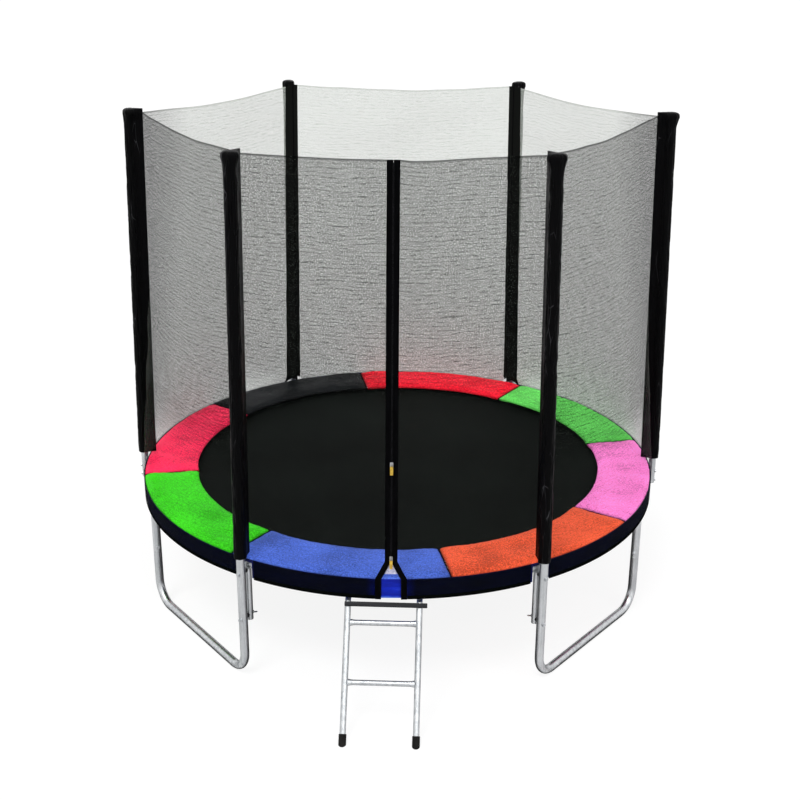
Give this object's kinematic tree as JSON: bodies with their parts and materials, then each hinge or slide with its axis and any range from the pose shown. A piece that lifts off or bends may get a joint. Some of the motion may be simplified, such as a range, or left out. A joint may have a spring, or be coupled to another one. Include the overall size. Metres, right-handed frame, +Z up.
{
  "type": "trampoline",
  "caption": "Round backyard trampoline on U-shaped legs, with a coloured padded spring cover, a net enclosure on sleeved poles with a zipped door, and a hook-on ladder.",
  "frame": {"origin": "middle of the footprint's bounding box, on the ground under the legs and the ladder's feet", "axes": "+Z up, -Y towards the door and the ladder, +X to the right of someone who faces the door"},
  "size_m": [2.548, 2.7934, 2.2368],
  "materials": {
    "galvanised": "bright galvanised tube with fine drawn streaks",
    "ladder_steel": "galvanised tube, slightly worn on the rungs",
    "spring_steel": "zinc-plated spring wire",
    "sleeve": "shiny black woven sleeve, rumpled over thin foam",
    "net": "fine black knitted mesh, see-through",
    "zip_tape": "black woven zip tape",
    "zip_metal": "polished zip slider",
    "pull_ribbon": "yellow ribbon",
    "jumping_mat": "near-black woven jumping mat with a fine grid weave",
    "edge_band": "black sewn webbing",
    "pad_green_light": "grained coated cloth over foam",
    "pad_red": "grained coated cloth over foam",
    "pad_black": "grained coated cloth over foam",
    "pad_crimson": "grained coated cloth over foam",
    "pad_green_bright": "grained coated cloth over foam",
    "pad_blue": "grained coated cloth over foam",
    "pad_orange": "grained coated cloth over foam",
    "pad_pink": "grained coated cloth over foam",
    "skirt": "blue coated cloth",
    "rubber": "matte black rubber",
    "bar_plastic": "black moulded strip"
  },
  "bodies": {
    "frame": {"top_rail_front": "galvanised", "top_rail_right": "galvanised", "top_rail_back": "galvanised", "top_rail_left": "galvanised", "leg_base_front_left": "galvanised", "leg_upright_front_left": "galvanised", "leg_base_front_right": "galvanised", "leg_upright_front_right": "galvanised", "leg_base_back_right": "galvanised", "leg_upright_back_right": "galvanised", "leg_base_back_left": "galvanised", "leg_upright_back_left": "galvanised", "pole_right": "galvanised", "pole_back_right": "galvanised", "pole_back_left": "galvanised", "pole_left": "galvanised", "pole_front_left": "galvanised", "pole_front_right": "galvanised", "pole_sleeve_right": "sleeve", "pole_sleeve_back_right": "sleeve", "pole_sleeve_back_left": "sleeve", "pole_sleeve_left": "sleeve", "pole_sleeve_front_left": "sleeve", "pole_sleeve_front_right": "sleeve", "net_panel_right_back": "net", "net_panel_back": "net", "net_panel_left_back": "net", "net_panel_left_front": "net", "net_panel_right_front": "net", "net_door_left": "net", "net_door_right": "net", "door_tape_left": "zip_tape", "door_tape_right": "zip_tape", "spring_set": "spring_steel", "pad_green_right": "pad_green_light", "pad_red_back": "pad_red", "pad_black_back": "pad_black", "pad_crimson_left": "pad_crimson", "pad_green_left": "pad_green_bright", "pad_blue_front": "pad_blue", "pad_orange_front": "pad_orange", "pad_pink_right": "pad_pink", "skirt": "skirt"},
    "mat": {"jumping_mat": "jumping_mat", "mat_edge_band": "edge_band"},
    "ladder": {"ladder_rail_left": "ladder_steel", "ladder_rail_right": "ladder_steel", "ladder_foot_left": "rubber", "ladder_foot_right": "rubber", "ladder_rung_lower": "ladder_steel", "ladder_rung_upper": "ladder_steel", "ladder_top_bar": "bar_plastic"},
    "slider_lower": {"zip_slider_lower": "zip_metal"},
    "slider_upper": {"zip_slider_upper": "zip_metal"},
    "pull_lower": {"zip_pull_lower": "pull_ribbon"},
    "pull_upper": {"zip_pull_upper": "pull_ribbon"}
  },
  "joints": [
    {"name": "mat_bounce", "type": "slide", "parent": "frame", "child": "mat", "axis": [0, 0, 1], "range_m": [-0.25, 0], "stiffness_N_per_m": 5000, "springref_m": 0.03, "deforming": ["spring_set"]},
    {"name": "ladder_swing", "type": "hinge", "parent": "frame", "child": "ladder", "pos_m": [-0.02913, -1.02175, 0.528], "axis": [-0.9997, 0.0244, 0], "range_deg": [0, 25]},
    {"name": "zip_lower_slide", "type": "slide", "parent": "frame", "child": "slider_lower", "axis": [0, 0.1455, 0.9894], "range_m": [0, 0.3]},
    {"name": "zip_upper_slide", "type": "slide", "parent": "frame", "child": "slider_upper", "axis": [0, 0.1455, 0.9894], "range_m": [0, 1.12]},
    {"name": "pull_lower_swing", "type": "hinge", "parent": "slider_lower", "child": "pull_lower", "pos_m": [0, -1.0559, 0.65297], "axis": [-1, 0, 0], "range_deg": [0, 150]},
    {"name": "pull_upper_swing", "type": "hinge", "parent": "slider_upper", "child": "pull_upper", "pos_m": [0, -0.99944, 1.03697], "axis": [-1, 0, 0], "range_deg": [0, 150]}
  ]
}
